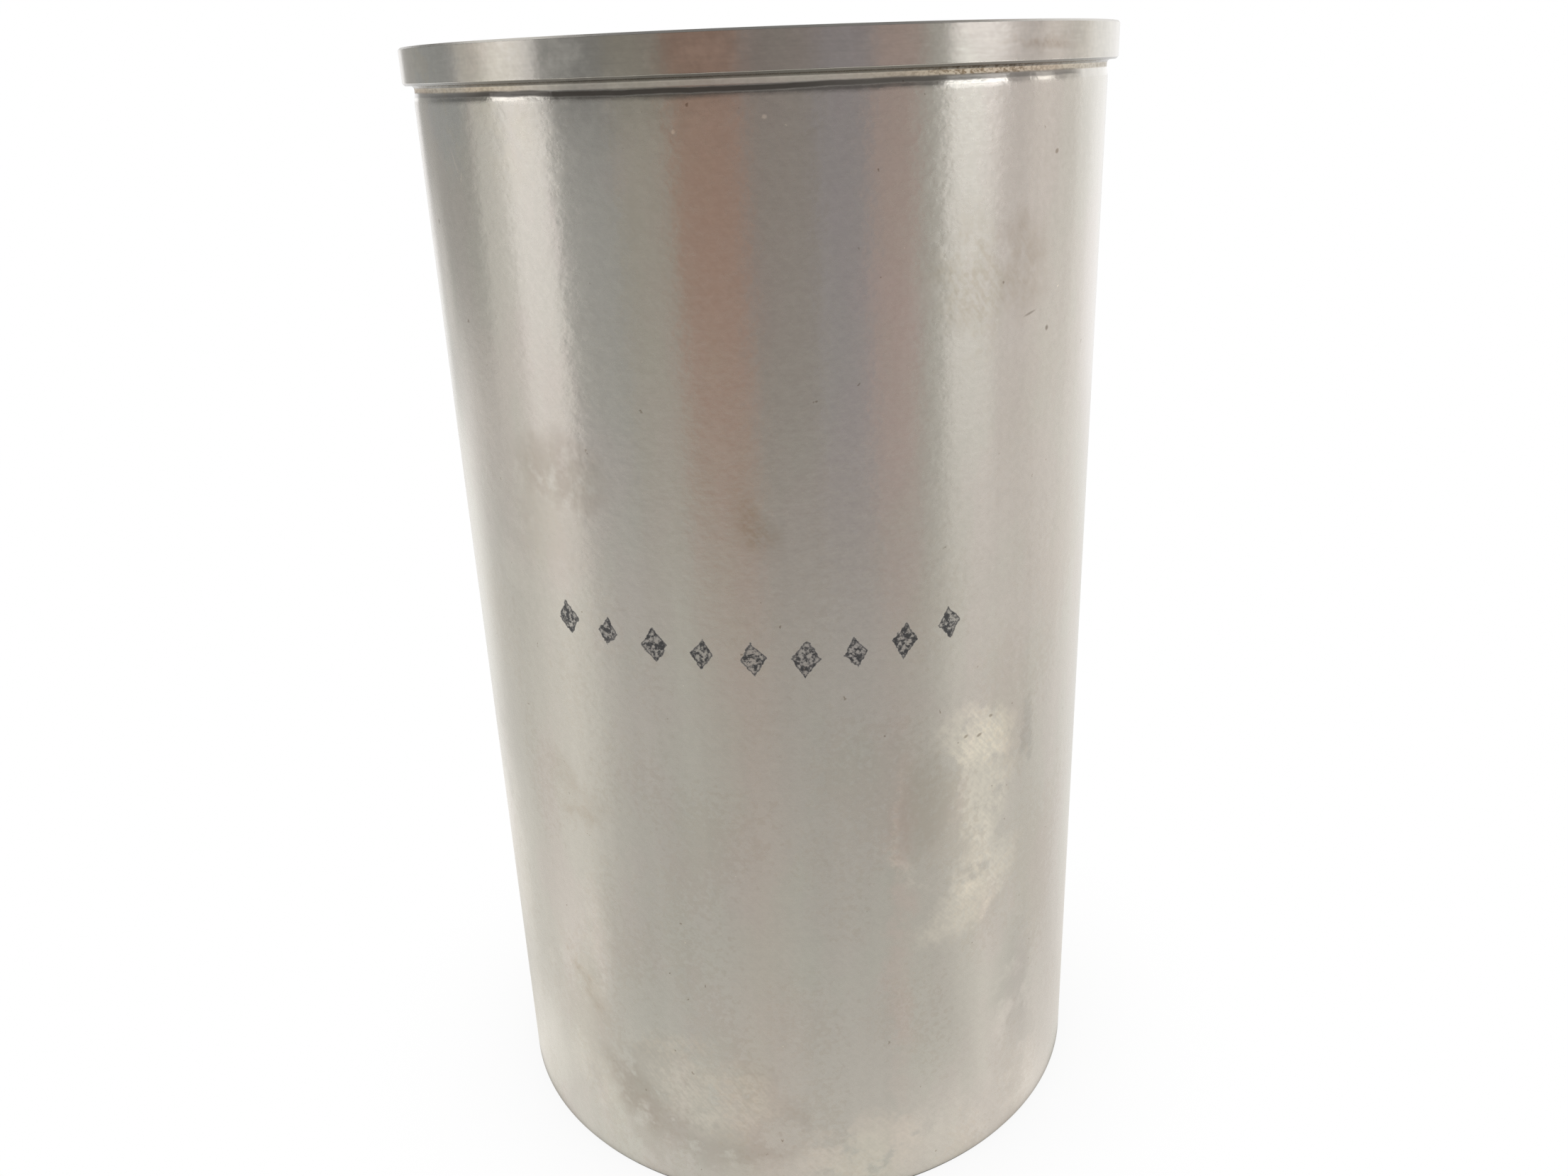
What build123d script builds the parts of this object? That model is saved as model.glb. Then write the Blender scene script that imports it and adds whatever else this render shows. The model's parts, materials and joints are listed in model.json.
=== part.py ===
from build123d import *
import os

# A flanged dry cylinder liner, in millimetres.
# It stands on its foot at Z = 0, with the bore along +Z and the collar at the top.

# Sleeve
bore_diameter = 87.0
wall_thickness = 2.3  # from the honed bore to the ground outside
overall_length = 158.0

# Collar, which hangs the liner in the counterbore of the block
collar_step = 1.2  # how far it stands out from the ground outside
collar_height = 4.45
collar_top_break = 0.25  # 45 degree edge break
collar_bottom_break = 0.3

# Neck relief under the collar, which lets the seat bear flat and the grinding wheel run out
relief_depth = 0.2
relief_floor_length = 0.9
relief_ramp_length = 1.1  # slopes back out to the ground outside
relief_corner_radius = 0.5  # tool nose radius between the floor and the seat
relief_blend_radius = 3.0  # rounds both ends of the ramp

# Foot, with a lead-in that starts the liner in the block
lead_in_length = 0.5
lead_in_depth = 0.3

# Mouths of the bore, where the piston rings go in
top_mouth_chamfer = 0.5
foot_mouth_chamfer = 0.5

# Radii and heights that follow from the sizes above
bore_radius = bore_diameter / 2
body_radius = bore_radius + wall_thickness
collar_radius = body_radius + collar_step
relief_radius = body_radius - relief_depth
seat_height = overall_length - collar_height
ramp_top = seat_height - relief_floor_length
ramp_bottom = ramp_top - relief_ramp_length

# Corners of the wall's section that get a chamfer or a round, as radius and height
foot_mouth = (bore_radius, 0)
top_mouth = (bore_radius, overall_length)
collar_top = (collar_radius, overall_length)
collar_bottom = (collar_radius, seat_height)
relief_corner = (relief_radius, seat_height)
ramp_ends = [(relief_radius, ramp_top), (body_radius, ramp_bottom)]


def wall_section():
    """Section of the wall in the XZ plane: foot, outside, relief, collar, then back down the bore."""
    with BuildSketch(Plane.XZ) as section:
        with BuildLine():
            Polyline(
                foot_mouth,
                (body_radius - lead_in_depth, 0),
                (body_radius, lead_in_length),
                *reversed(ramp_ends),
                relief_corner,
                collar_bottom,
                collar_top,
                top_mouth,
                close=True,
            )
        make_face()

        def corner(place):
            """The section's corner at the given radius and height."""
            return section.vertices().sort_by_distance(place)[0]

        fillet(corner(relief_corner), relief_corner_radius)
        for ramp_end in ramp_ends:
            fillet(corner(ramp_end), relief_blend_radius)
        chamfer(corner(collar_top), collar_top_break)
        chamfer(corner(collar_bottom), collar_bottom_break)
        chamfer(corner(top_mouth), top_mouth_chamfer)
        chamfer(corner(foot_mouth), foot_mouth_chamfer)
    return section.sketch


def cylinder_liner():
    """The whole liner, turned from its wall section."""
    with BuildPart() as liner:
        add(wall_section())
        revolve(axis=Axis.Z)
    return liner.part


os.makedirs("parts", exist_ok=True)
export_step(cylinder_liner(), "parts/cylinder_liner.step")
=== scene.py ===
import bpy
import json
import math

import numpy as np
from mathutils import Matrix


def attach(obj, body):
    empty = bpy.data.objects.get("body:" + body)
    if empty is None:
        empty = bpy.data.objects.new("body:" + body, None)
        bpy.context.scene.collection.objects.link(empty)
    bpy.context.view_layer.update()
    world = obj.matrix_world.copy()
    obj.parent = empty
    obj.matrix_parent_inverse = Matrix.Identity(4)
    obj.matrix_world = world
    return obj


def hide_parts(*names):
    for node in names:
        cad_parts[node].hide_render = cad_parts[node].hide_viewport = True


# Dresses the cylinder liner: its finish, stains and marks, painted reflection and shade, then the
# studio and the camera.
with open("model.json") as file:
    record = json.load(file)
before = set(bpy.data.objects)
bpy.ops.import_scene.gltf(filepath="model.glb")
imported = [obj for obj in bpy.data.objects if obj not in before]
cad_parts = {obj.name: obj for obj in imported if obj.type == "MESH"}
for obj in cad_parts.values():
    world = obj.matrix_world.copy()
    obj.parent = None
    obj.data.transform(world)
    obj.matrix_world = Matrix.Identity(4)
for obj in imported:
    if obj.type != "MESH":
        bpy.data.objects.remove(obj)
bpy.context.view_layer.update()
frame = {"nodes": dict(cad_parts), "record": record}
print("frame loaded:", sorted(frame["nodes"]))

mm = 0.001


class Wire:
    # Wraps one socket of a node tree, so that shader maths is written as plain expressions.
    def __init__(self, tree, socket=None):
        self.tree = tree
        self.socket = socket

    def node(self, kind, settings=None, sockets=None, out=0):
        # Adds any node: its settings first, then the values or links of its sockets.
        made = self.tree.nodes.new(kind)
        for name, value in (settings or {}).items():
            if name == "stops":
                ramp = made.color_ramp.elements
                while len(ramp) < len(value):
                    ramp.new(0.5)
                for stop, (place, colour) in zip(ramp, value):
                    stop.position = place
                    stop.color = (*colour, 1)
            else:
                setattr(made, name, value)
        for name, value in (sockets or {}).items():
            if isinstance(value, Wire):
                self.tree.links.new(value.socket, made.inputs[name])
            else:
                made.inputs[name].default_value = value
        return Wire(self.tree, made.outputs[out] if made.outputs else None)

    def math(self, operation, *values):
        return self.node("ShaderNodeMath", {"operation": operation}, dict(enumerate(values)))

    def __add__(self, other):
        return self.math("ADD", self, other)

    __radd__ = __add__

    def __mul__(self, other):
        return self.math("MULTIPLY", self, other)

    __rmul__ = __mul__

    def __sub__(self, other):
        return self.math("SUBTRACT", self, other)

    def __rsub__(self, other):
        return self.math("SUBTRACT", other, self)

    def __neg__(self):
        return self.math("MULTIPLY", self, -1)

    def __abs__(self):
        return self.math("ABSOLUTE", self)

    def lesser(self, other):
        return self.math("MINIMUM", self, other)

    def greater(self, other):
        return self.math("MAXIMUM", self, other)

    def above(self, low, high):
        # 0 below low, 1 above high, with a smooth step between them.
        return self.node(
            "ShaderNodeMapRange",
            {"interpolation_type": "SMOOTHSTEP"},
            {"Value": self, "From Min": low, "From Max": high},
        )

    def between(self, low, high, soft):
        # 1 from low to high, with a step of width soft round both.
        half = soft / 2
        return self.above(low - half, low + half) - self.above(high - half, high + half)

    def noise(self, scale, detail=2.0, roughness=0.5):
        # Fractal noise from 0 to 1 at this place, where scale is cells in each unit of the place.
        return self.node(
            "ShaderNodeTexNoise",
            {},
            {"Vector": self, "Scale": scale, "Detail": detail, "Roughness": roughness},
        )

    def stretched(self, factors):
        # This place with each axis multiplied by its own factor.
        return self.node("ShaderNodeVectorMath", {"operation": "MULTIPLY"}, {0: self, 1: factors})

    def placed(self, at, tilt, size):
        # This place seen from a point, turned by tilt degrees and in units of size.
        sockets = {"Vector": self, "Location": (*at, 0), "Scale": (*size, 1)}
        sockets["Rotation"] = (0, 0, math.radians(tilt))
        return self.node("ShaderNodeMapping", {"vector_type": "TEXTURE"}, sockets)

    def axes(self):
        split = self.tree.nodes.new("ShaderNodeSeparateXYZ")
        self.tree.links.new(self.socket, split.inputs[0])
        return [Wire(self.tree, socket) for socket in split.outputs]

    def joined(self, *values):
        return self.node("ShaderNodeCombineXYZ", {}, dict(enumerate(values)))

    def plus(self, other):
        # The sum of two places.
        return self.node("ShaderNodeVectorMath", {"operation": "ADD"}, {0: self, 1: other})

    def shifted(self, scale, detail, size):
        # A random step of up to half of size each way, which changes smoothly from place to place.
        sockets = {"Vector": self, "Scale": scale, "Detail": detail}
        random = self.node("ShaderNodeTexNoise", {}, sockets, out=1)
        middle = random.plus((-0.5, -0.5, -0.5))
        return middle.stretched((size, size, size))

    def length(self):
        return self.node("ShaderNodeVectorMath", {"operation": "LENGTH"}, {0: self}, out=1)

    def mixed(self, first, second):
        # The colour that goes from first to second as this factor goes from 0 to 1.
        sockets = {0: self, 6: colour(first), 7: colour(second)}
        return self.node("ShaderNodeMix", {"data_type": "RGBA"}, sockets, out=2)

    def tinted(self, mask, tone):
        # This colour, multiplied by tone where mask is 1.
        settings = {"data_type": "RGBA", "blend_type": "MULTIPLY"}
        return self.node("ShaderNodeMix", settings, {0: mask, 6: self, 7: colour(tone)}, out=2)

    def shaded(self, tone):
        # The colour tone, made brighter or darker by this value.
        return self.node("ShaderNodeVectorMath", {"operation": "SCALE"}, {0: tone, "Scale": self})

    def bump(self, rise):
        # Normals of a surface that this value raises, by rise metres where it is 1.
        sockets = {"Strength": 1.0, "Distance": rise, "Height": self}
        return self.node("ShaderNodeBump", {}, sockets)


def colour(value):
    return value if isinstance(value, Wire) else (*value, 1)


def newMaterial(name):
    material = bpy.data.materials.new(name)
    material.use_nodes = True
    material.node_tree.nodes.clear()
    return material, Wire(material.node_tree)


def onPiece(start):
    # Where a point lies on its piece, in metres.
    return start.node("ShaderNodeTexCoord", out=3)


def inMillimetres(start):
    return onPiece(start).stretched((1 / mm, 1 / mm, 1 / mm))


def metalSurface(material, start, sockets):
    bsdf = start.node("ShaderNodeBsdfPrincipled", {}, sockets)
    start.node("ShaderNodeOutputMaterial", {}, {"Surface": bsdf})
    return material


mounts = {mount["name"]: mount for mount in frame["record"]["mounts"]}


def wallSpan(name):
    # Radius and lowest and highest point of a round mount, in metres.
    mount = mounts[name]
    half = mount["dims"]["length_mm"] * mm / 2
    middle = mount["pos_m"][2]
    return mount["dims"]["r_mm"] * mm, middle - half, middle + half


boreRadius, boreLow, boreHigh = wallSpan("piston_bore")
bodyRadius, bodyLow, _ = wallSpan("block_fit")
rimRadius, rimLow, rimHigh = wallSpan("collar_rim")
seatHeight = mounts["collar_seat"]["pos_m"][2]
topHeight = mounts["head_face"]["pos_m"][2]

linerForm = {
    "around": 720,  # facets round the axis
    "leadIn": 0.3 * mm,  # how far the foot's lead-in comes in
    "reliefDepth": 0.2 * mm,  # of the groove under the collar
    "reliefFloor": 0.9 * mm,  # from the seat down to the ramp
    "reliefRamp": 1.1 * mm,  # from the floor out to the body
    "cornerRound": 0.5 * mm,  # between floor and seat
    "blendRound": 3.0 * mm,  # at both ends of the ramp
    "edgeRound": 0.05 * mm,  # on every other edge, as left by deburring
    "arcSteps": 5,
    "ringGap": 6.0 * mm,  # most between two rings along a straight wall
    "waveReach": 0.8 * mm,  # how far above and below the ramp's edge the waves reach
    "waves": [(7, 0.06, 0.4), (17, 0.05, 2.0), (31, 0.03, 4.1)],  # waves round, mm, start
    # Nicks: degrees round, height, half their width in degrees and height in mm, depth.
    "nicks": [(-16.6, 151.9, 0.9, 0.5, -0.05), (8.6, 157.9, 0.7, 0.3, 0.12)],
}


def roundedOutline(corners, rounds, steps):
    # A closed outline with each corner replaced by an arc that touches both its sides. Along the
    # arc the outward normal turns evenly from one side's normal to the other's, and the point is
    # the arc's centre plus the radius times that normal (minus it in a hollow corner).
    here = np.array(corners)
    before = here - np.roll(here, 1, axis=0)
    after = np.roll(here, -1, axis=0) - here
    before /= np.linalg.norm(before, axis=1, keepdims=True)
    after /= np.linalg.norm(after, axis=1, keepdims=True)
    turn = np.arctan2(
        before[:, 0] * after[:, 1] - before[:, 1] * after[:, 0], (before * after).sum(axis=1)
    )
    radius = np.array(rounds)
    cut = radius * np.tan(np.abs(turn) / 2)
    side = np.sign(turn)[:, None]
    normalIn = np.stack([before[:, 1], -before[:, 0]], axis=1)
    centre = here - before * cut[:, None] - side * normalIn * radius[:, None]
    angle = turn[:, None] * np.linspace(0, 1, steps + 1)
    cos, sin = np.cos(angle), np.sin(angle)
    normals = np.stack(
        [
            normalIn[:, :1] * cos - normalIn[:, 1:] * sin,
            normalIn[:, :1] * sin + normalIn[:, 1:] * cos,
        ],
        axis=2,
    )
    points = centre[:, None, :] + side[:, :, None] * normals * radius[:, None, None]
    return points.reshape(-1, 2), normals.reshape(-1, 2)


def withRings(points, normals, gap):
    # The same outline with more points along its long straight walls, found by path length.
    closed = np.vstack([points, points[:1]])
    path = np.concatenate([[0], np.cumsum(np.linalg.norm(np.diff(closed, axis=0), axis=1))])
    even = np.arange(gap / 2, path[-1], gap)
    nearest = np.abs(even[:, None] - path[None, :]).min(axis=1)
    places = np.sort(np.concatenate([path[:-1], even[nearest > gap / 2]]))
    closedNormals = np.vstack([normals, normals[:1]])
    at = [np.interp(places, path, column) for column in (*closed.T, *closedNormals.T)]
    return np.stack(at[:2], axis=1), np.stack(at[2:], axis=1)


def linerOutline():
    # Section of the wall as radius and height: foot, outside, relief, collar, top, bore.
    f = linerForm
    floorRadius = bodyRadius - f["reliefDepth"]
    rampTop = seatHeight - f["reliefFloor"]
    topBreak = topHeight - rimHigh
    lowBreak = rimLow - seatHeight
    edge, blend = f["edgeRound"], f["blendRound"]
    corners = [
        (boreRadius + boreLow, 0, edge),
        (bodyRadius - f["leadIn"], 0, edge),
        (bodyRadius, bodyLow, edge),
        (bodyRadius, rampTop - f["reliefRamp"], blend),
        (floorRadius, rampTop, blend),
        (floorRadius, seatHeight, f["cornerRound"]),
        (rimRadius - lowBreak, seatHeight, edge),
        (rimRadius, rimLow, edge),
        (rimRadius, rimHigh, edge),
        (rimRadius - topBreak, topHeight, edge),
        (boreRadius + topHeight - boreHigh, topHeight, edge),
        (boreRadius, boreHigh, edge),
        (boreRadius, boreLow, edge),
    ]
    outline = [(radius, height) for radius, height, _ in corners]
    points, normals = roundedOutline(outline, [corner[2] for corner in corners], f["arcSteps"])
    return withRings(points, normals, f["ringGap"])


def turned(name, points, normals, around, change):
    # A surface of two parameters: the outline's points (j) carried round the vertical axis (i).
    # The place is (r sin a, -r cos a, z), so a = 0 faces the front. change moves r and z.
    angle = np.linspace(0, 2 * math.pi, around, endpoint=False)[:, None]
    sin, cos = np.sin(angle), np.cos(angle)

    def carried(across, up):
        return np.stack([across * sin, -across * cos, up + 0 * angle], axis=2).reshape(-1, 3)

    i, j = np.meshgrid(np.arange(around), np.arange(len(points)), indexing="ij")
    nextI, nextJ = (i + 1) % around, (j + 1) % len(points)
    wide = len(points)
    corners = [i * wide + j, nextI * wide + j, nextI * wide + nextJ, i * wide + nextJ]
    faces = np.stack(corners, axis=2).reshape(-1, 4)
    mesh = bpy.data.meshes.new(name)
    radius, height = change(angle, points[:, 0] + 0 * angle, points[:, 1] + 0 * angle)
    mesh.from_pydata(carried(radius, height).tolist(), [], faces.tolist())
    mesh.polygons.foreach_set("use_smooth", np.ones(len(faces), bool))
    smooth = carried(normals[:, 0] + 0 * angle, normals[:, 1] + 0 * angle)
    mesh.normals_split_custom_set_from_vertices(smooth.tolist())
    made = bpy.data.objects.new(name, mesh)
    bpy.context.scene.collection.objects.link(made)
    return made


def handlingWear(angle, radius, height):
    # The ramp's lower edge wanders up and down by a sum of waves, and each nick is a bell of
    # given depth round its own arc and height. The bore stays as it is.
    f = linerForm
    arc = (np.degrees(angle) + 180) % 360 - 180
    rampEdge = seatHeight - f["reliefFloor"] - f["reliefRamp"]
    outside = radius > (boreRadius + bodyRadius) / 2
    near = outside * np.exp(-(((height - rampEdge) / f["waveReach"]) ** 2))
    waves = sum(size * np.sin(np.radians(arc) * count + start) for count, size, start in f["waves"])
    height = height + near * waves * mm
    for arcAt, heightAt, halfArc, halfHeight, depth in f["nicks"]:
        away = ((arc - arcAt) / halfArc) ** 2 + ((height - heightAt * mm) / (halfHeight * mm)) ** 2
        radius = radius - outside * depth * mm * np.exp(-away)
    return radius, height


linerFinish = {
    "base": (0.63, 0.605, 0.56),
    "roughness": 0.27,
    "anisotropy": 0.75,
    "bumpHeight": 0.02 * mm,
    # The wander below also moves the edges of the patches of painted reflection.
    "stainWander": (5.0, 3.0),  # how far the edges of stains stray, coarse and fine, in millimetres
    "mottle": 0.10,  # how strongly each pattern shows in the colour
    "grain": 0.04,
    "cloud": 0.08,
    "collarLines": 0.16,  # the same for the turning marks on the collar
    "collarShade": 0.06,  # how much darker the collar is
    "smoothSkin": 0.55,  # share of the texture that is left near the foot
    "smoothHeights": (30, 115),  # from where to where the rest comes in, in millimetres
    "drift": ((1.0, 0.996, 0.982), (1.015, 0.984, 0.985)),  # slow changes of colour
    "handledTone": (0.965, 0.95, 0.935),
    "rampFrom": 151.75,  # heights of the relief's zones, in millimetres
    "sootFrom": 152.15,
    "floorFrom": 152.67,
    "cornerFrom": 153.25,
    "lipFrom": 153.54,
    "lipTo": 153.80,
    # Painted reflection: the strip's tone brightens the strip under the collar, where it reflects the
    # floor.
    "stripTone": (1.09, 1.07, 1.035),
    "stripDirt": (1.07, 1.00, 0.905),
    # Painted shade: the corner's and the lip's tones darken the corner under the seat and the collar's
    # lower edge.
    "cornerTone": (0.40, 0.39, 0.375),
    "lipTone": (0.36, 0.355, 0.35),
    "grimeTone": (0.44, 0.37, 0.29),
    # Painted shade: the colour of the dark band along the top of the ramp, and how dark it is at the
    # front.
    "sootColour": (0.044, 0.036, 0.029),
    "soot": 0.92,  # how much it covers at the front
    # Painted shade: the foot's tone darkens the foot's lead-in, where the liner stands on the floor.
    "footTone": (0.62, 0.63, 0.58),
    "pitTone": (0.62, 0.58, 0.54),
    "speckTone": (1.35, 1.33, 1.27),
    "inkColour": (0.012, 0.013, 0.017),
    "inkRow": 88.2,  # height of the row of marks, in millimetres
    "inkSize": (1.7, 2.3),  # half the width and height of a mark
}

# Stains, rubbed patches and small marks on the outside, and patches of painted reflection that make
# some bands and highlights in the metal lighter and others darker, in millimetres. at is the arc from
# the front and the height, half is half the width and height, tilt is in degrees, edge is how softly
# it ends, grit how much of it breaks up into specks, tone what it does to the colour and dull what it
# adds to the roughness.
stainAndLightFields = ("at", "half", "tilt", "edge", "grit", "tone", "dull")
stainAndLightRows = [
    # At the right: two rubbed patches, and the smears round them.
    ((27.3, 71.6), (7.6, 4.6), -12, 0.24, 0.42, (1.17, 1.16, 1.13), 0.05),
    ((28.0, 65.2), (5.5, 9.8), 0, 0.36, 0.40, (1.20, 1.19, 1.155), 0.05),
    ((18.4, 63.2), (4.9, 7.4), -5, 0.40, 0.50, (0.92, 0.915, 0.90), 0.03),
    ((14.1, 62.0), (0.5, 8.0), 0, 0.80, 0.70, (1.12, 1.11, 1.10), 0.0),
    ((16.4, 54.4), (4.4, 1.6), -44, 0.60, 0.60, (1.12, 1.10, 1.09), 0.0),
    ((36.9, 68.5), (1.3, 6.0), -5, 0.35, 0.10, (0.86, 0.865, 0.87), 0.0),
    ((26.2, 46.8), (3.9, 9.6), -62, 0.46, 0.36, (1.24, 1.23, 1.20), 0.05),
    ((30.0, 44.2), (0.7, 4.0), -60, 0.60, 0.60, (1.16, 1.15, 1.13), 0.0),
    ((26.0, 52.6), (2.8, 5.2), -14, 0.55, 0.20, (1.21, 1.20, 1.18), 0.04),
    # Above them, a brown smear across the bright streak.
    ((32.8, 131.3), (4.0, 5.4), 8, 0.50, 0.60, (0.85, 0.82, 0.78), 0.05),
    ((30.5, 136.0), (3.0, 1.8), 30, 0.60, 0.50, (0.90, 0.88, 0.86), 0.03),
    ((24.6, 130.5), (4.6, 7.5), 10, 0.45, 0.85, (0.86, 0.835, 0.785), 0.05),
    # At the left, over the marks, and in the middle.
    ((-27.8, 109.4), (6.2, 4.6), -10, 0.45, 0.22, (0.85, 0.82, 0.795), 0.07),
    ((-32.0, 103.0), (5.0, 7.0), 30, 0.70, 0.40, (0.94, 0.92, 0.90), 0.03),
    ((-3.4, 105.0), (1.8, 3.6), 20, 0.90, 0.75, (0.82, 0.77, 0.70), 0.0),
    # Round the foot: a large worn patch with a dark edge and fainter ones beside it, and some lighter
    # and some darker bands that are painted reflection.
    ((-14.0, 16.3), (15.3, 10.5), -12, 0.20, 0.20, (0.88, 0.86, 0.845), 0.03),
    ((-12.6, 18.6), (10.0, 6.8), -14, 0.42, 0.45, (1.36, 1.36, 1.355), 0.04),
    # Painted reflection: a darker upright band at the right, and lighter and darker upright bands at
    # the left.
    ((36.0, 20.0), (5.0, 17.0), 0, 0.55, 0.20, (0.84, 0.845, 0.845), 0.0),
    ((-30.3, 37.0), (2.6, 11.0), 0, 0.70, 0.20, (1.13, 1.125, 1.13), 0.0),
    ((-33.0, 13.0), (4.0, 8.0), 20, 0.60, 0.20, (1.10, 1.10, 1.09), 0.0),
    ((-41.0, 25.0), (4.5, 9.0), 0, 0.70, 0.20, (0.91, 0.91, 0.91), 0.0),
    ((-24.8, 8.5), (2.6, 5.5), 30, 0.50, 0.30, (0.88, 0.865, 0.85), 0.0),
    # Painted reflection: lighter along the foot.
    ((13.0, 4.5), (17.0, 9.0), 0, 0.40, 0.20, (1.11, 1.10, 1.09), 0.0),
    ((-18.5, 26.0), (7.0, 1.6), 12, 0.60, 0.80, (1.10, 1.08, 1.06), 0.0),
    ((-26.0, 15.0), (3.5, 6.5), 35, 0.50, 0.30, (0.93, 0.91, 0.89), 0.03),
    ((9.5, 8.0), (8.4, 7.0), 0, 0.30, 0.15, (1.08, 1.055, 1.04), 0.02),
    # Creased smears at the left.
    ((-34.0, 32.0), (3.0, 7.5), 32, 0.60, 0.40, (0.95, 0.93, 0.91), 0.0),
    ((-36.2, 35.0), (1.1, 4.2), 27, 0.80, 0.70, (0.86, 0.82, 0.78), 0.0),
    ((-34.4, 33.6), (0.9, 3.0), 27, 0.80, 0.60, (1.07, 1.06, 1.05), 0.0),
    ((-32.6, 29.2), (1.0, 3.8), 40, 0.80, 0.70, (0.85, 0.81, 0.77), 0.0),
    ((-31.0, 65.3), (5.5, 2.0), -28, 0.90, 0.60, (0.88, 0.85, 0.82), 0.0),
    ((-30.5, 60.1), (3.6, 1.5), -14, 0.90, 0.60, (0.86, 0.82, 0.78), 0.0),
    # A faint pinkish upright streak right of the middle: painted reflection.
    ((14.8, 45.0), (1.8, 26.0), 0, 0.70, 0.0, (1.05, 0.99, 0.99), 0.0),
    # On the collar: two darker bands, a cooler, a warmer and a lighter one over its whole height,
    # which are painted reflection, and a brown smear in two strokes.
    ((-15.0, 156.0), (14.0, 6.0), 0, 0.80, 0.0, (0.79, 0.79, 0.79), 0.0),
    ((-20.5, 156.0), (4.0, 12.0), 0, 0.90, 0.0, (0.88, 0.88, 0.89), 0.0),
    ((-44.0, 156.0), (6.5, 12.0), 0, 0.30, 0.0, (0.955, 0.985, 1.04), 0.0),
    ((-31.5, 156.0), (4.0, 12.0), 0, 0.60, 0.0, (1.01, 1.0, 0.965), 0.0),
    ((45.0, 156.0), (4.5, 6.0), 0, 0.60, 0.0, (1.13, 1.13, 1.13), 0.0),
    ((33.0, 156.6), (5.0, 0.5), 2, 0.80, 0.6, (0.88, 0.85, 0.82), 0.0),
    ((35.0, 155.4), (4.0, 0.4), -2, 0.80, 0.6, (0.88, 0.85, 0.82), 0.0),
    # Near the left outline, faint lighter and darker patches: painted reflection.
    ((-49.5, 127.0), (3.0, 9.0), 0, 0.70, 0.0, (1.12, 1.12, 1.12), 0.0),
    ((-42.5, 102.0), (7.0, 13.0), 0, 0.80, 0.0, (0.92, 0.92, 0.925), 0.0),
    ((-52.5, 42.0), (4.5, 32.0), 0, 0.50, 0.0, (1.10, 1.10, 1.105), 0.0),
    # Scratches and specks.
    ((34.0, 125.8), (1.0, 0.13), 12, 0.60, 0.0, (0.62, 0.60, 0.58), 0.0),
    ((-42.3, 145.1), (0.14, 1.2), 25, 0.70, 0.3, (1.25, 1.20, 1.15), 0.0),
    ((-41.0, 143.4), (0.12, 0.8), -20, 0.70, 0.3, (1.20, 1.16, 1.12), 0.0),
    ((-50.7, 137.7), (0.3, 0.3), 0, 0.50, 0.0, (0.45, 0.43, 0.40), 0.0),
    ((38.5, 143.9), (0.35, 0.25), 20, 0.50, 0.0, (0.60, 0.55, 0.50), 0.0),
    ((37.7, 123.5), (0.3, 0.3), 0, 0.50, 0.0, (0.50, 0.47, 0.44), 0.0),
    ((24.5, 72.1), (0.35, 0.2), 20, 0.50, 0.0, (0.60, 0.57, 0.54), 0.0),
    ((26.8, 71.6), (0.45, 0.2), 15, 0.50, 0.0, (0.55, 0.52, 0.50), 0.0),
    ((28.8, 73.8), (0.3, 0.2), 0, 0.50, 0.0, (0.60, 0.57, 0.54), 0.0),
    ((0.2, 149.4), (0.25, 0.2), 0, 0.50, 0.0, (1.45, 1.42, 1.38), 0.0),
    ((-9.5, 148.2), (0.2, 0.2), 0, 0.50, 0.0, (1.35, 1.33, 1.30), 0.0),
]
stainsAndPaintedLight = [dict(zip(stainAndLightFields, row)) for row in stainAndLightRows]

# The row of inked marks: size, arc, how far above or below the row, tilt in degrees.
inkMarks = [
    (1.0, -29.0, 2.0, 8),
    (0.85, -22.8, 1.2, -5),
    (1.05, -16.3, 0.3, 4),
    (0.9, -10.1, -0.4, -7),
    (1.0, -3.8, -0.9, 5),
    (1.1, 2.7, -1.1, -4),
    (0.9, 8.9, -0.9, 7),
    (1.05, 15.3, -0.2, -6),
    (0.95, 21.6, 0.9, 5),
]


def stainAndLightMask(flat, grit, spec):
    # 1 inside a tilted ellipse, broken up into specks by its share of grit.
    reach = flat.placed(spec["at"], spec["tilt"], spec["half"]).length()
    inside = 1 - reach.above(1 - spec["edge"], 1 + spec["edge"])
    return inside * (1 - spec["grit"] + spec["grit"] * grit)


def lozenge(flat, size, at, tilt):
    # Distance in millimetres from a stamped lozenge, below 0 on the ink.
    wide, tall = linerFinish["inkSize"]
    across, up, _ = flat.placed(at, tilt, (1, 1)).axes()
    slimness = (tall / wide) ** 0.5
    return abs(across) * slimness + abs(up) * (1 / slimness) - size * (wide * tall) ** 0.5


def withStainsAndPaintedLight(base, dull, flat, wander, grit):
    # Lays every stain and every patch of painted reflection on the colour, and adds what it takes from
    # the shine. Small marks keep their outline, and the edges of large ones wander.
    loose = flat.plus(wander)
    for spec in stainsAndPaintedLight:
        small = min(spec["half"]) < 0.5
        mask = stainAndLightMask(flat if small else loose, grit, spec)
        base = base.tinted(mask, spec["tone"])
        if spec["dull"]:
            dull = dull + mask * spec["dull"]
    return base, dull


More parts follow.
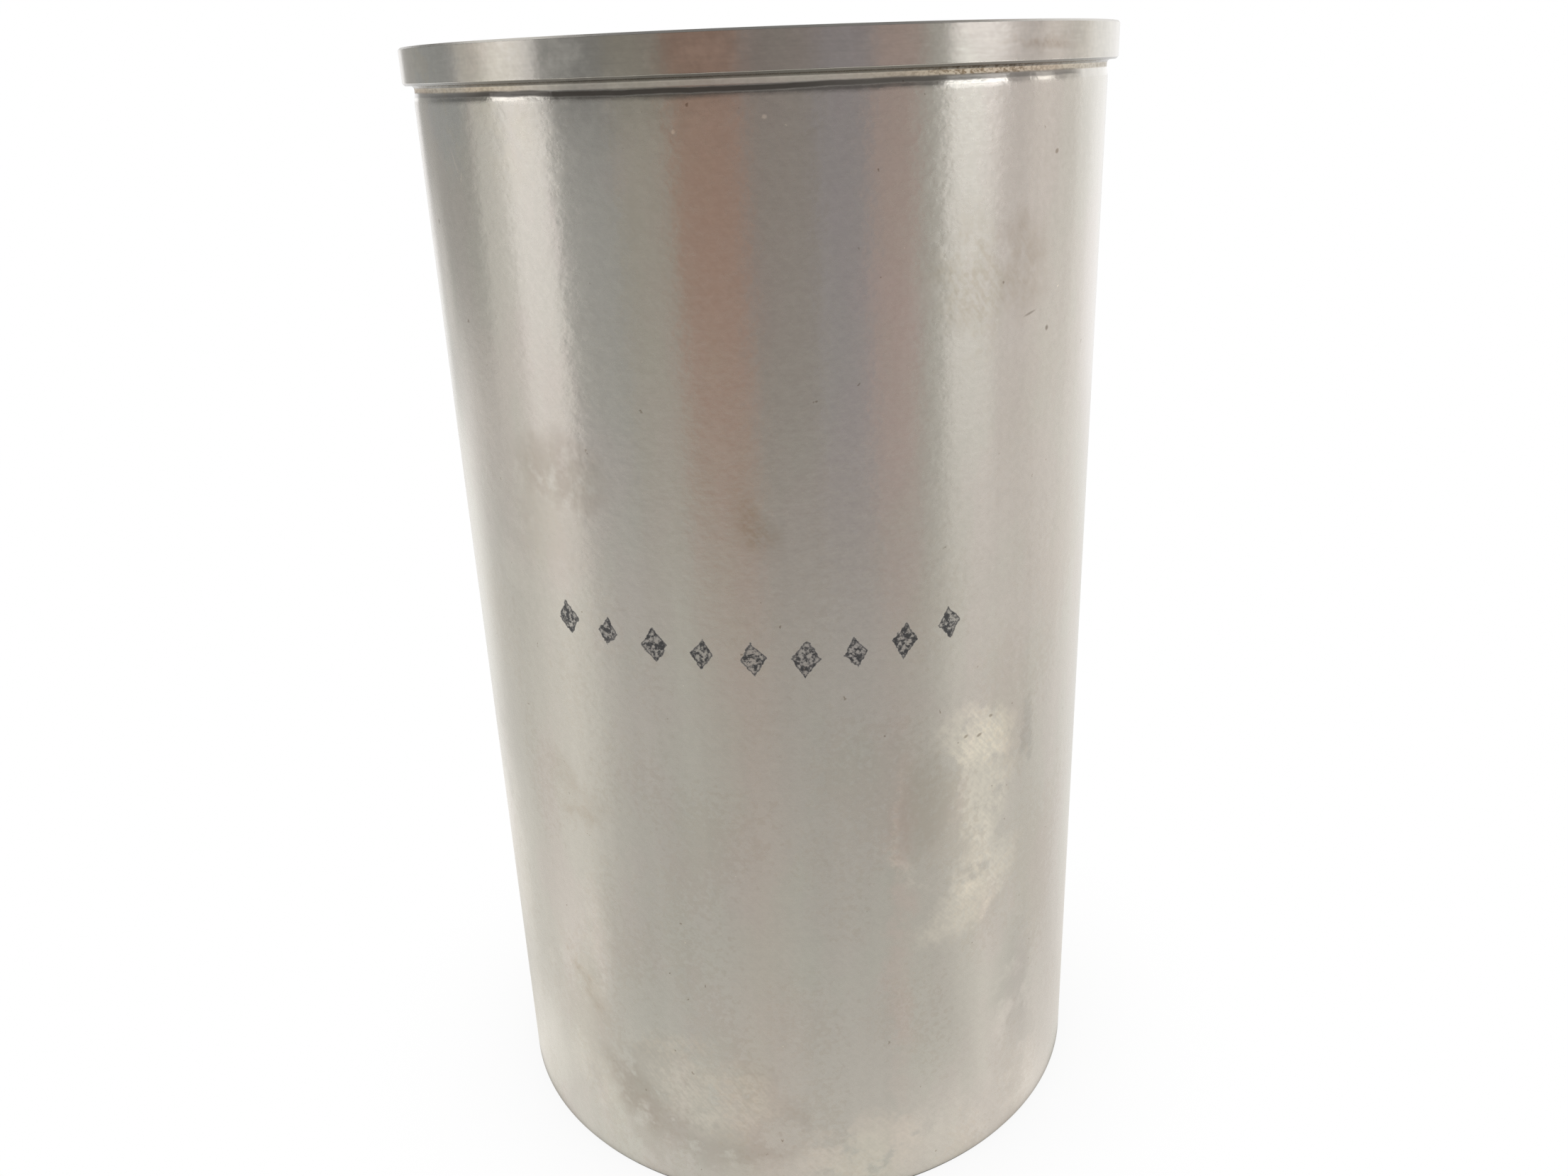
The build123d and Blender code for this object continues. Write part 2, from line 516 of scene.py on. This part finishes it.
def paintedRampShade(flat, arc, z):
    # 1 in the painted shade along the top of the ramp, in the recess under the collar. It hangs lower
    # towards the front and gets thinner to both sides.
    f = linerFinish
    wavy = (flat.stretched((0.16, 0, 0)).noise(1.0, 3.0) - 0.5) * 0.4
    lowered = z + wavy + 0.2 * arc.between(-24, 5, 8)
    band = lowered.between(f["sootFrom"], f["floorFrom"] + 0.08, 0.24)
    thinner = 0.12 * arc.above(2, 12) + 0.25 * arc.above(22, 30) + 0.3 * (1 - arc.above(-42, -32))
    return band * (1 - arc.between(43, 62, 4)) * (f["soot"] - thinner)


def reliefDirt(base, inMm, arc, strip, corner):
    # Colour of the relief's floor, and the brown grime that collects there.
    f = linerFinish
    sides = 1 - arc.between(-30, 13, 14)
    specks = inMm.stretched((1.6, 1.6, 3.0)).noise(1.0, 3.0, 0.7).above(0.42, 0.60)
    grime = strip.greater(corner) * specks * (0.1 + 0.25 * sides + 0.55 * arc.between(18, 33, 8))
    base = base.tinted(strip * sides * (1 - 0.7 * arc.above(36, 46)), f["stripDirt"])
    return base.tinted(grime, f["grimeTone"]), grime


def pitted(base, inMm, blurred):
    # Pits and specks: the near points of a cell pattern, kept only in a few cells.
    cells = inMm.node("ShaderNodeTexVoronoi", {}, {"Vector": inMm.plus(blurred), "Scale": 0.4})
    chance = Wire(cells.tree, cells.socket.node.outputs[1]).axes()[0]
    pit = (1 - cells.above(0.04, 0.09)) * chance.above(0.86, 0.87)
    speck = (1 - cells.above(0.03, 0.06)) * (1 - chance.above(0.04, 0.05))
    return base.tinted(pit, linerFinish["pitTone"]).tinted(speck, linerFinish["speckTone"])


def inkCover(inMm, flat):
    # How much ink lies at each place: pooled along the edge of a mark and worn off inside.
    distance = None
    for size, place, rise, tilt in inkMarks:
        one = lozenge(flat, size, (place, linerFinish["inkRow"] + rise), tilt)
        distance = one if distance is None else distance.lesser(one)
    distance = distance + (inMm.noise(1.3, 4.0, 0.6) - 0.5) * 1.3
    inside = 1 - distance.above(-0.08, 0.08)
    pooled = distance.above(-0.42, -0.2)
    worn = inMm.noise(1.7, 4.0, 0.7).above(0.42, 0.56)
    return inside * (0.30 + 0.65 * (0.8 * pooled).greater(worn))


def groundIron():
    # Patterns are laid in millimetres, and marks at their arc from the front and their height.
    material, start = newMaterial("groundIron")
    f = linerFinish
    inMm = inMillimetres(start)
    x, y, z = inMm.axes()
    arc = x.math("ARCTAN2", x, -y) * (bodyRadius / mm)
    flat = start.joined(arc, z, 0)

    blurred = inMm.shifted(1.1, 3.0, 1.6)
    grain = inMm.stretched((0.25, 0.25, 5.0)).noise(1.0, 2.0)
    mottle = inMm.stretched((1.0, 1.0, 1.3)).noise(1.0, 2.0, 0.5)
    swell = inMm.stretched((0.45, 0.45, 0.55)).noise(1.0, 2.0, 0.5)
    cloud = inMm.noise(0.05, 4.0, 0.55)
    drift = inMm.stretched((0.07, 0.07, 0.03)).noise(1.0, 4.0, 0.6)
    strokes = flat.placed((0, 0), 40, (0.4, 3.0)).noise(1.0, 2.0)
    grit = (0.6 * inMm.noise(1.1, 3.0, 0.65) + 0.4 * strokes).above(0.38, 0.62)
    bands = inMm.stretched((0.4, 0.4, 0.01)).noise(1.0, 2.0)
    lines = inMm.stretched((0.3, 0.3, 2.5)).noise(1.0, 3.0, 0.6)
    coarse, fine = f["stainWander"]
    wander = inMm.shifted(0.10, 2.0, coarse).plus(inMm.shifted(0.3, 3.0, fine)).plus(blurred)

    rim = z.above(rimLow / mm - 0.05, rimLow / mm + 0.05)
    rougher = f["smoothSkin"] + (1 - f["smoothSkin"]) * z.above(*f["smoothHeights"])
    shade = 0.83 + f["grain"] * (grain + grit) + f["mottle"] * mottle * rougher
    shade = shade + f["cloud"] * (cloud + bands)
    shade = shade - f["collarShade"] * rim + f["collarLines"] * rim * (lines - 0.5)
    base = shade.shaded(f["base"])
    base = base.tinted(1.0, drift.above(0.42, 0.58).mixed(*f["drift"]))
    handled = inMm.stretched((0.10, 0.10, 0.06)).plus(blurred).noise(1.0, 3.0).above(0.50, 0.60)
    base = base.tinted(handled * (1 - 0.7 * z.above(60, 125)), f["handledTone"])
    dull = 0.08 * (mottle - 0.5) + 0.06 * (cloud - 0.5)
    base, dull = withStainsAndPaintedLight(base, dull, flat, wander, grit)

    # The relief under the collar, from below: a turned ramp with a dark band of painted shade along
    # its top, a dull strip at the floor that is brightened as a painted reflection, and the corner
    # under the seat darkened as painted shade.
    ramp = z.between(f["rampFrom"], f["floorFrom"], 0.2)
    soot = paintedRampShade(flat, arc, z)
    strip = z.between(f["floorFrom"], f["cornerFrom"], 0.2)
    corner = z.between(f["cornerFrom"], f["lipFrom"], 0.1)
    lip = z.between(f["lipFrom"], f["lipTo"], 0.04)
    foot = z.between(-1, bodyLow / mm, 0.1)
    # Painted light: the strip is brightened as a painted reflection, and the corner, the lip and the
    # foot are darkened as painted shade.
    for zone, tone in ((strip, "strip"), (corner, "corner"), (lip, "lip"), (foot, "foot")):
        base = base.tinted(zone, f[tone + "Tone"])
    base, grime = reliefDirt(base, inMm, arc, strip, corner)
    # Lays the painted shade along the top of the ramp.
    base = pitted(soot.mixed(base, f["sootColour"]), inMm, blurred)
    ink = inkCover(inMm, flat)

    calm = abs(arc).between(44, 64, 12)  # towards the outline a smooth skin reflects best
    height = (mottle + 1.6 * swell + 0.1 * grain) * rougher * (1 - 0.5 * rim) * (1 - 0.65 * calm)
    rough = (f["roughness"] + dull) * (1 - 0.3 * ramp + 0.8 * strip - 0.1 * rim)
    sockets = {
        "Base Color": ink.mixed(base, f["inkColour"]),
        "Metallic": 1 - 0.9 * ink - 0.7 * soot - 0.4 * strip,
        "Roughness": rough + 0.15 * (grime + ink),
        "Anisotropic": f["anisotropy"],
        "Anisotropic Rotation": 0.25,
        "Normal": height.bump(f["bumpHeight"]),
    }
    return metalSurface(material, start, sockets)


boreFinish = {
    "base": (0.68, 0.665, 0.635),
    "roughness": 0.30,
    "lay": 30.0,  # degrees between the honing marks and level
    "bumpHeight": 0.01 * mm,
}


def honedBore():
    # Two families of fine lines. Turning the place by an angle that grows with its height makes
    # each line climb round the bore as a helix, one family to the left and one to the right.
    material, start = newMaterial("honedBore")
    f = boreFinish
    inMm = inMillimetres(start)
    z = inMm.axes()[2]
    perMm = 1 / (boreRadius / mm * math.tan(math.radians(f["lay"])))  # radians
    lines = []
    for side in (-1, 1):
        sockets = {"Vector": inMm, "Angle": z * (side * perMm)}
        twisted = start.node("ShaderNodeVectorRotate", {"rotation_type": "Z_AXIS"}, sockets)
        fine = twisted.stretched((3.5, 3.5, 0.12)).noise(1.0, 3.0, 0.6)
        coarse = twisted.stretched((0.9, 0.9, 0.05)).noise(1.0, 2.0, 0.6)
        lines.append(fine.above(0.35, 0.65) * 0.6 + coarse.above(0.55, 0.75) * 0.4)
    hatch = lines[0].greater(lines[1])
    cloud = inMm.noise(0.08, 3.0)
    shade = 0.62 + 0.42 * hatch + 0.1 * (cloud - 0.5)
    sockets = {
        "Base Color": shade.shaded(f["base"]),
        "Metallic": 1.0,
        "Roughness": f["roughness"] + 0.08 * (cloud - 0.5) - 0.05 * hatch,
        "Normal": hatch.bump(f["bumpHeight"]),
    }
    return metalSurface(material, start, sockets)


faceFinish = {
    "base": (0.60, 0.575, 0.535),
    "roughness": 0.25,
    "anisotropy": 0.5,
    "rings": 7.0,  # tool marks in each millimetre
    "grimeTone": (0.86, 0.82, 0.77),
    "bumpHeight": 0.01 * mm,
    "endBand": 0.6 * mm,  # how far from either end a face or chamfer may lie
    "boreSkin": 0.02 * mm,  # how far from its radius a face still counts as the bore's
    "steep": 0.6,  # least upward or downward share of the normal of an end face or chamfer
}


def turnedFace():
    # Fine rings left by the tool: noise that depends on the radius and height far more than on
    # the way round.
    material, start = newMaterial("turnedFace")
    f = faceFinish
    inMm = inMillimetres(start)
    x, y, z = inMm.axes()
    radius = start.joined(x, y, 0).length()
    rings = start.joined(radius * f["rings"], z * f["rings"], 0).noise(1.0, 2.0)
    mottle = inMm.noise(0.8, 3.0, 0.6)
    cloud = inMm.noise(0.08, 3.0)
    grimy = inMm.noise(0.5, 4.0, 0.7).above(0.62, 0.72)
    shade = 0.86 + 0.14 * rings + 0.1 * mottle + 0.06 * cloud
    sockets = {
        "Base Color": shade.shaded(f["base"]).tinted(grimy, f["grimeTone"]),
        "Metallic": 1.0,
        "Roughness": f["roughness"] + 0.1 * (mottle - 0.5) + 0.06 * grimy,
        "Anisotropic": f["anisotropy"],
        "Normal": (rings + 0.6 * mottle).bump(f["bumpHeight"]),
    }
    return metalSurface(material, start, sockets)


def wallFinish(mesh):
    # Which finish each face has: 0 outside, 1 bore, 2 end faces with their chamfers.
    centres = np.empty(3 * len(mesh.polygons))
    normals = np.empty(3 * len(mesh.polygons))
    mesh.polygons.foreach_get("center", centres)
    mesh.polygons.foreach_get("normal", normals)
    centres, normals = centres.reshape(-1, 3), normals.reshape(-1, 3)
    radius = np.hypot(centres[:, 0], centres[:, 1])
    f = faceFinish
    atEnd = (centres[:, 2] < f["endBand"]) | (centres[:, 2] > topHeight - f["endBand"])
    kind = np.where(radius < boreRadius + f["boreSkin"], 1, 0)
    kind = np.where(atEnd & (np.abs(normals[:, 2]) > f["steep"]), 2, kind)
    mesh.polygons.foreach_set("material_index", kind.astype(np.int32))


linerPoints, linerNormals = linerOutline()
liner = turned("cylinderLiner", linerPoints, linerNormals, linerForm["around"], handlingWear)
for finish in (groundIron, honedBore, turnedFace):
    liner.data.materials.append(finish())
wallFinish(liner.data)
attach(liner, "root")
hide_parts("cylinder_liner")
print("liner:", len(liner.data.vertices), "vertices,", 2 * len(liner.data.polygons), "triangles")


studio = {
    "floorSize": 8.0,  # metres each way
    "floorColour": (0.94, 0.94, 0.935),
    "nearGlow": 0.85,  # share of plain white that the camera sees in the floor at the foot
    "shadowReach": 0.08,  # metres from the axis to where the floor is plain white
    "air": 1.0,  # strength of the white all round
    "ceiling": (0.5, 0.9, (0.28, 0.28, 0.28)),  # half its side, its height, its colour
}

# How bright metal sees the floor, by degrees round from the front.
floorInMetal = [
    (-180, (1.04, 1.04, 1.03)),
    (-155, (1.14, 1.14, 1.12)),
    (-135, (1.10, 1.10, 1.08)),
    (-118, (0.81, 0.80, 0.77)),
    (-100, (0.75, 0.74, 0.705)),
    (-86, (0.85, 0.835, 0.795)),
    (-76, (0.92, 0.905, 0.865)),
    (-66, (0.84, 0.83, 0.79)),
    (-58, (0.705, 0.695, 0.665)),
    (-45, (0.655, 0.655, 0.625)),
    (-22, (0.655, 0.655, 0.625)),
    (-10, (0.67, 0.645, 0.605)),
    (4, (0.64, 0.645, 0.61)),
    (28, (0.65, 0.65, 0.615)),
    (44, (0.67, 0.655, 0.625)),
    (58, (0.84, 0.825, 0.785)),
    (72, (0.80, 0.785, 0.75)),
    (90, (0.80, 0.785, 0.75)),
    (120, (0.97, 0.96, 0.93)),
    (155, (1.04, 1.04, 1.03)),
    (180, (1.04, 1.04, 1.03)),
]

# Flags and soft boxes round the liner, which only metal sees: name, degrees round from the front
# at both ends, metres from the axis, lowest and highest point, colour.
screens = [
    ("leftBlue", -65.5, -44, 0.36, 0.0, 0.21, (0.465, 0.47, 0.465)),
    ("leftOlive", -44, -27, 0.36, 0.0, 0.21, (0.475, 0.455, 0.41)),
    ("leftBrown", -27, -6, 0.36, 0.0, 0.21, (0.46, 0.325, 0.265)),
    ("midPink", -6, 15, 0.36, 0.0, 0.21, (0.38, 0.345, 0.33)),
    ("midGrey", 15, 31, 0.36, 0.0, 0.21, (0.40, 0.38, 0.405)),
    ("rightBrown", 31, 46, 0.36, 0.0, 0.21, (0.54, 0.435, 0.41)),
    ("rightGrey", 46, 55, 0.36, 0.0, 0.21, (0.52, 0.52, 0.49)),
    ("frontLeftDark", -65.5, -3, 0.36, 0.21, 0.9, (0.12, 0.115, 0.11)),
    ("frontRightDark", -3, 55, 0.36, 0.21, 0.9, (0.12, 0.115, 0.115)),
    ("leftBox", -86, -64.5, 0.5, 0.0, 0.22, (1.09, 1.07, 1.065)),
    ("leftLamp", -90, -64.5, 0.5, 0.22, 0.275, (2.46, 2.44, 2.45)),
    ("leftHigh", -90, -64.5, 0.5, 0.275, 0.9, (0.10, 0.10, 0.10)),
    ("leftSide", -101, -86, 0.5, 0.0, 0.22, (0.77, 0.76, 0.73)),
    ("leftBack", -131, -101, 0.5, 0.03, 0.20, (0.45, 0.45, 0.43)),
    ("leftBackFar", -145, -131, 0.5, 0.105, 0.20, (0.45, 0.45, 0.43)),
    ("leftBackLow", -145, -131, 0.5, 0.0, 0.105, (0.72, 0.72, 0.70)),
    ("leftBackHigh", -145, -90, 0.5, 0.20, 0.48, (0.16, 0.16, 0.155)),
    ("leftBackTop", -150, -112, 0.5, 0.48, 0.9, (1.0, 1.0, 0.98)),
    ("leftEdge", -168, -145, 0.5, 0.0, 0.9, (1.15, 1.15, 1.15)),
    ("rightBox", 54, 74, 0.5, 0.0, 0.22, (0.99, 0.975, 0.96)),
    ("rightLamp", 54, 79, 0.5, 0.22, 0.28, (3.7, 3.75, 3.8)),
    ("rightHigh", 54, 79, 0.5, 0.28, 0.9, (0.16, 0.155, 0.15)),
    ("rightSideHigh", 79, 92, 0.5, 0.22, 0.9, (0.45, 0.435, 0.42)),
    ("smallLamp", 92, 102, 0.5, 0.22, 0.26, (2.4, 2.4, 2.3)),
    ("smallHigh", 92, 102, 0.5, 0.26, 0.9, (0.30, 0.29, 0.28)),
    ("rightBackHigh", 102, 120, 0.5, 0.22, 0.9, (0.45, 0.44, 0.42)),
    ("rightSide", 74, 90, 0.5, 0.0, 0.22, (0.77, 0.745, 0.725)),
    ("rightBack", 90, 118, 0.5, 0.0, 0.22, (0.85, 0.82, 0.79)),
    ("rightEdge", 130, 168, 0.5, 0.0, 0.9, (1.12, 1.12, 1.12)),
    ("backDark", 172, 196, 0.6, 0.0, 0.9, (0.30, 0.30, 0.31)),
]


def curvedScreen(name, start, end, away, low, high, shade, steps=24):
    # Part of an upright cylinder: the angle runs along it and the height across it.
    angle = np.radians(np.linspace(start, end, steps + 1))
    rim = np.stack([away * np.sin(angle), -away * np.cos(angle)], axis=1)
    rows = [np.column_stack([rim, np.full(len(rim), level)]) for level in (low, high)]
    k = np.arange(steps)
    faces = np.stack([k, k + 1, k + steps + 2, k + steps + 1], axis=1)
    mesh = bpy.data.meshes.new(name)
    mesh.from_pydata(np.vstack(rows).tolist(), [], faces.tolist())
    metalOnly(name, mesh, shade)


def metalOnly(name, mesh, shade):
    # A glowing object that shows in metal alone.
    made = bpy.data.objects.new(name, mesh)
    bpy.context.scene.collection.objects.link(made)
    material, wire = newMaterial(name)
    glow = wire.node("ShaderNodeEmission", {}, {"Color": (*shade, 1), "Strength": 1.0})
    wire.node("ShaderNodeOutputMaterial", {}, {"Surface": glow})
    mesh.materials.append(material)
    made.visible_camera = False
    made.visible_shadow = False
    made.visible_diffuse = False


def levelSquare(name, half, height, face):
    mesh = bpy.data.meshes.new(name)
    sides = ((-half, -half), (half, -half), (half, half), (-half, half))
    mesh.from_pydata([(x, y, height) for x, y in sides], [], [face])
    return mesh


def lightInMetal(away, around):
    # How much brighter metal sees the floor near the liner than floorInMetal says, by metres
    # from the axis and degrees round from the front.
    # Painted shadow of the liner on the floor as metal sees it: darkest right at the foot, and darker
    # inside the bore.
    inBore = 1 - away.above(boreRadius - 2 * mm, boreRadius)
    paintedFloorShadow = away.above(bodyRadius - 0.3 * mm, bodyRadius + 1.0 * mm) * 0.8 + 0.2 + 0.5 * inBore
    nearby = 1.12 - 0.12 * away.above(bodyRadius, 0.13)
    # It is duller in front and further out, brighter all round the foot and most of all at the
    # foot's two corners, and bright at the left.
    front = around.between(-21.6, 61.2, 21.6)
    nearby = nearby - front * (0.11 * away.above(0.12, 0.2) + 0.12 * away.above(0.25, 0.36))
    corners = around.between(-59.4, 59.4, 25.2) - around.between(-28.8, 28.8, 28.8)
    nearby = nearby + (0.08 + 0.20 * corners) * (1 - away.above(0.052, 0.075))
    left = 1 - around.above(-108, -86.4)
    nearby = nearby + 0.22 * away.between(0.068, 0.13, 0.03) * left
    return nearby * paintedFloorShadow


def paleFloor():
    # The camera sees the lit floor fade into plain white away from the liner, and metal sees it
    # as bright as floorInMetal says.
    material, start = newMaterial("paleFloor")
    s = studio
    x, y, _ = onPiece(start).axes()
    away = start.joined(x, y, 0).length()
    around = x.math("ARCTAN2", x, -y) * math.degrees(1)
    stops = [(degrees / 360 + 0.5, shade) for degrees, shade in floorInMetal]
    inMetal = start.node("ShaderNodeValToRGB", {"stops": stops}, {0: around * (1 / 360) + 0.5})
    isCamera = start.node("ShaderNodeLightPath", out=0)
    isGlossy = Wire(start.tree, isCamera.socket.node.outputs[3])
    spread = away.above(bodyRadius - 3 * mm, s["shadowReach"])
    spread = spread.math("POWER", spread, 0.4)
    glow = spread * (1 - s["nearGlow"]) + s["nearGlow"]
    seen = isGlossy.mixed((1, 1, 1), inMetal)
    strength = lightInMetal(away, around) * isGlossy + (1 - isGlossy)
    white = start.node("ShaderNodeEmission", {}, {"Color": seen, "Strength": strength})
    diffuse = start.node("ShaderNodeBsdfDiffuse", {}, {"Color": (*s["floorColour"], 1)})
    factor = isCamera * glow + isGlossy
    mixed = start.node("ShaderNodeMixShader", {}, {0: factor, 1: diffuse, 2: white})
    start.node("ShaderNodeOutputMaterial", {}, {"Surface": mixed})
    return material


def makeStudio():
    mesh = levelSquare("studioFloor", studio["floorSize"] / 2, 0, (0, 1, 2, 3))
    floor = bpy.data.objects.new("studioFloor", mesh)
    bpy.context.scene.collection.objects.link(floor)
    mesh.materials.append(paleFloor())
    for spec in screens:
        curvedScreen(*spec)
    half, height, shade = studio["ceiling"]
    metalOnly("overheadGrey", levelSquare("overheadGrey", half, height, (3, 2, 1, 0)), shade)

    world = bpy.data.worlds.new("studioAir")
    bpy.context.scene.world = world
    world.use_nodes = True
    world.node_tree.nodes.clear()
    start = Wire(world.node_tree)
    sky = start.node("ShaderNodeBackground", {}, {"Color": (1, 1, 1, 1), "Strength": studio["air"]})
    start.node("ShaderNodeOutputWorld", {}, {"Surface": sky})


makeStudio()
print("studio:", len(screens), "screens")

view = {
    "renderWidth": 2212,  # pixels
    "focalPixels": 1834.0,  # focal length on a render of that width
    "sensor": 36,  # millimetres
    "back": 189.43 * mm,  # from the bore axis
    "height": 154.21 * mm,
    "down": 21.865,  # degrees
    "roll": -2.229,
    "yaw": 0.136,
}


def makeCamera():
    v = view
    down, roll, yaw = (math.radians(v[name]) for name in ("down", "roll", "yaw"))
    ahead = np.array([math.sin(yaw) * math.cos(down), math.cos(yaw) * math.cos(down), -math.sin(down)])
    right = np.array([math.cos(yaw), -math.sin(yaw), 0])
    up = np.cross(right, ahead)
    tiltedRight = math.cos(roll) * right + math.sin(roll) * up
    tiltedUp = -math.sin(roll) * right + math.cos(roll) * up
    data = bpy.data.cameras.new("viewCamera")
    data.sensor_width = v["sensor"]
    data.lens = v["focalPixels"] / v["renderWidth"] * v["sensor"]
    data.clip_start = 10 * mm
    camera = bpy.data.objects.new("viewCamera", data)
    turn = np.eye(4)
    turn[:3, 0], turn[:3, 1], turn[:3, 2] = tiltedRight, tiltedUp, -ahead
    turn[:3, 3] = (0, -v["back"], v["height"])
    bpy.context.scene.collection.objects.link(camera)
    camera.matrix_world = Matrix(turn.tolist())
    bpy.context.scene.camera = camera


makeCamera()
bpy.context.scene.view_settings.view_transform = "Standard"
